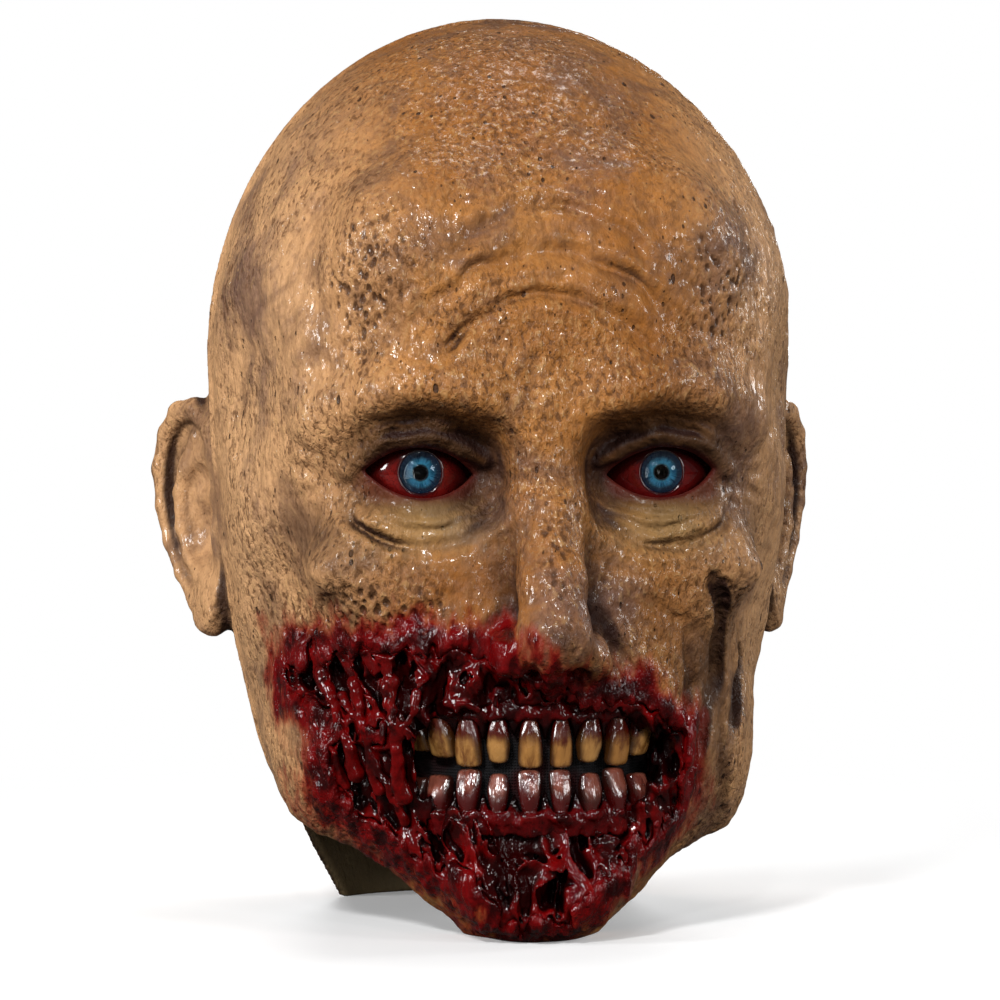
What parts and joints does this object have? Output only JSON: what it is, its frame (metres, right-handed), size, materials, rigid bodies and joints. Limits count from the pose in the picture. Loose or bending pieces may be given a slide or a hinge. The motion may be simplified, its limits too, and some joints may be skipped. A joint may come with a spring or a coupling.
{
  "type": "latex zombie mask",
  "caption": "Full-head bald latex zombie mask with ears, sunken sockets with acrylic eyes, a torn bloody cheek and mouth, and bared stained teeth.",
  "frame": {"origin": "middle of the box on the plane that the neck rim stands on", "axes": "the face looks along -Y, +Z runs from the neck rim to the crown, +X runs to the wearer's left ear"},
  "size_m": [0.2162, 0.2479, 0.285],
  "materials": {
    "latex_skin": "hand-painted tan latex, mottled brown, pitted, semi-gloss",
    "seam_tape": "latex-soaked cotton tape",
    "wet_flesh": "glossy dark red latex with a clear wet coat",
    "gum": "glossy dark red",
    "upper_tooth": "stained ivory resin",
    "lower_tooth": "stained grey-pink resin",
    "eye_white": "blood-red veined acrylic",
    "iris_print": "printed bright blue iris",
    "eye_lens": "clear domed acrylic",
    "eye_ring": "moulded black plastic",
    "mesh": "black nylon mesh",
    "foam": "charcoal open-cell foam"
  },
  "bodies": {
    "root": {"face_skin": "latex_skin", "rear_skin": "latex_skin", "seam_tape": "seam_tape", "wound_flesh": "wet_flesh", "cheek_strands": "wet_flesh", "upper_gum": "gum", "lower_gum": "gum", "mouth_mesh": "mesh", "crown_pad": "foam", "forehead_pad": "foam", "back_pad": "foam", "left_eye_dome": "eye_white", "left_iris": "iris_print", "left_cornea": "eye_lens", "left_eye_ring": "eye_ring", "right_eye_dome": "eye_white", "right_iris": "iris_print", "right_cornea": "eye_lens", "right_eye_ring": "eye_ring", "upper_tooth_1": "upper_tooth", "upper_tooth_2": "upper_tooth", "upper_tooth_3": "upper_tooth", "upper_tooth_4": "upper_tooth", "upper_tooth_5": "upper_tooth", "upper_tooth_6": "upper_tooth", "upper_tooth_7": "upper_tooth", "upper_tooth_8": "upper_tooth", "upper_tooth_9": "upper_tooth", "lower_tooth_1": "lower_tooth", "lower_tooth_2": "lower_tooth", "lower_tooth_3": "lower_tooth", "lower_tooth_4": "lower_tooth", "lower_tooth_5": "lower_tooth", "lower_tooth_6": "lower_tooth", "lower_tooth_7": "lower_tooth", "lower_tooth_8": "lower_tooth", "lower_tooth_9": "lower_tooth"}
  },
  "joints": []
}
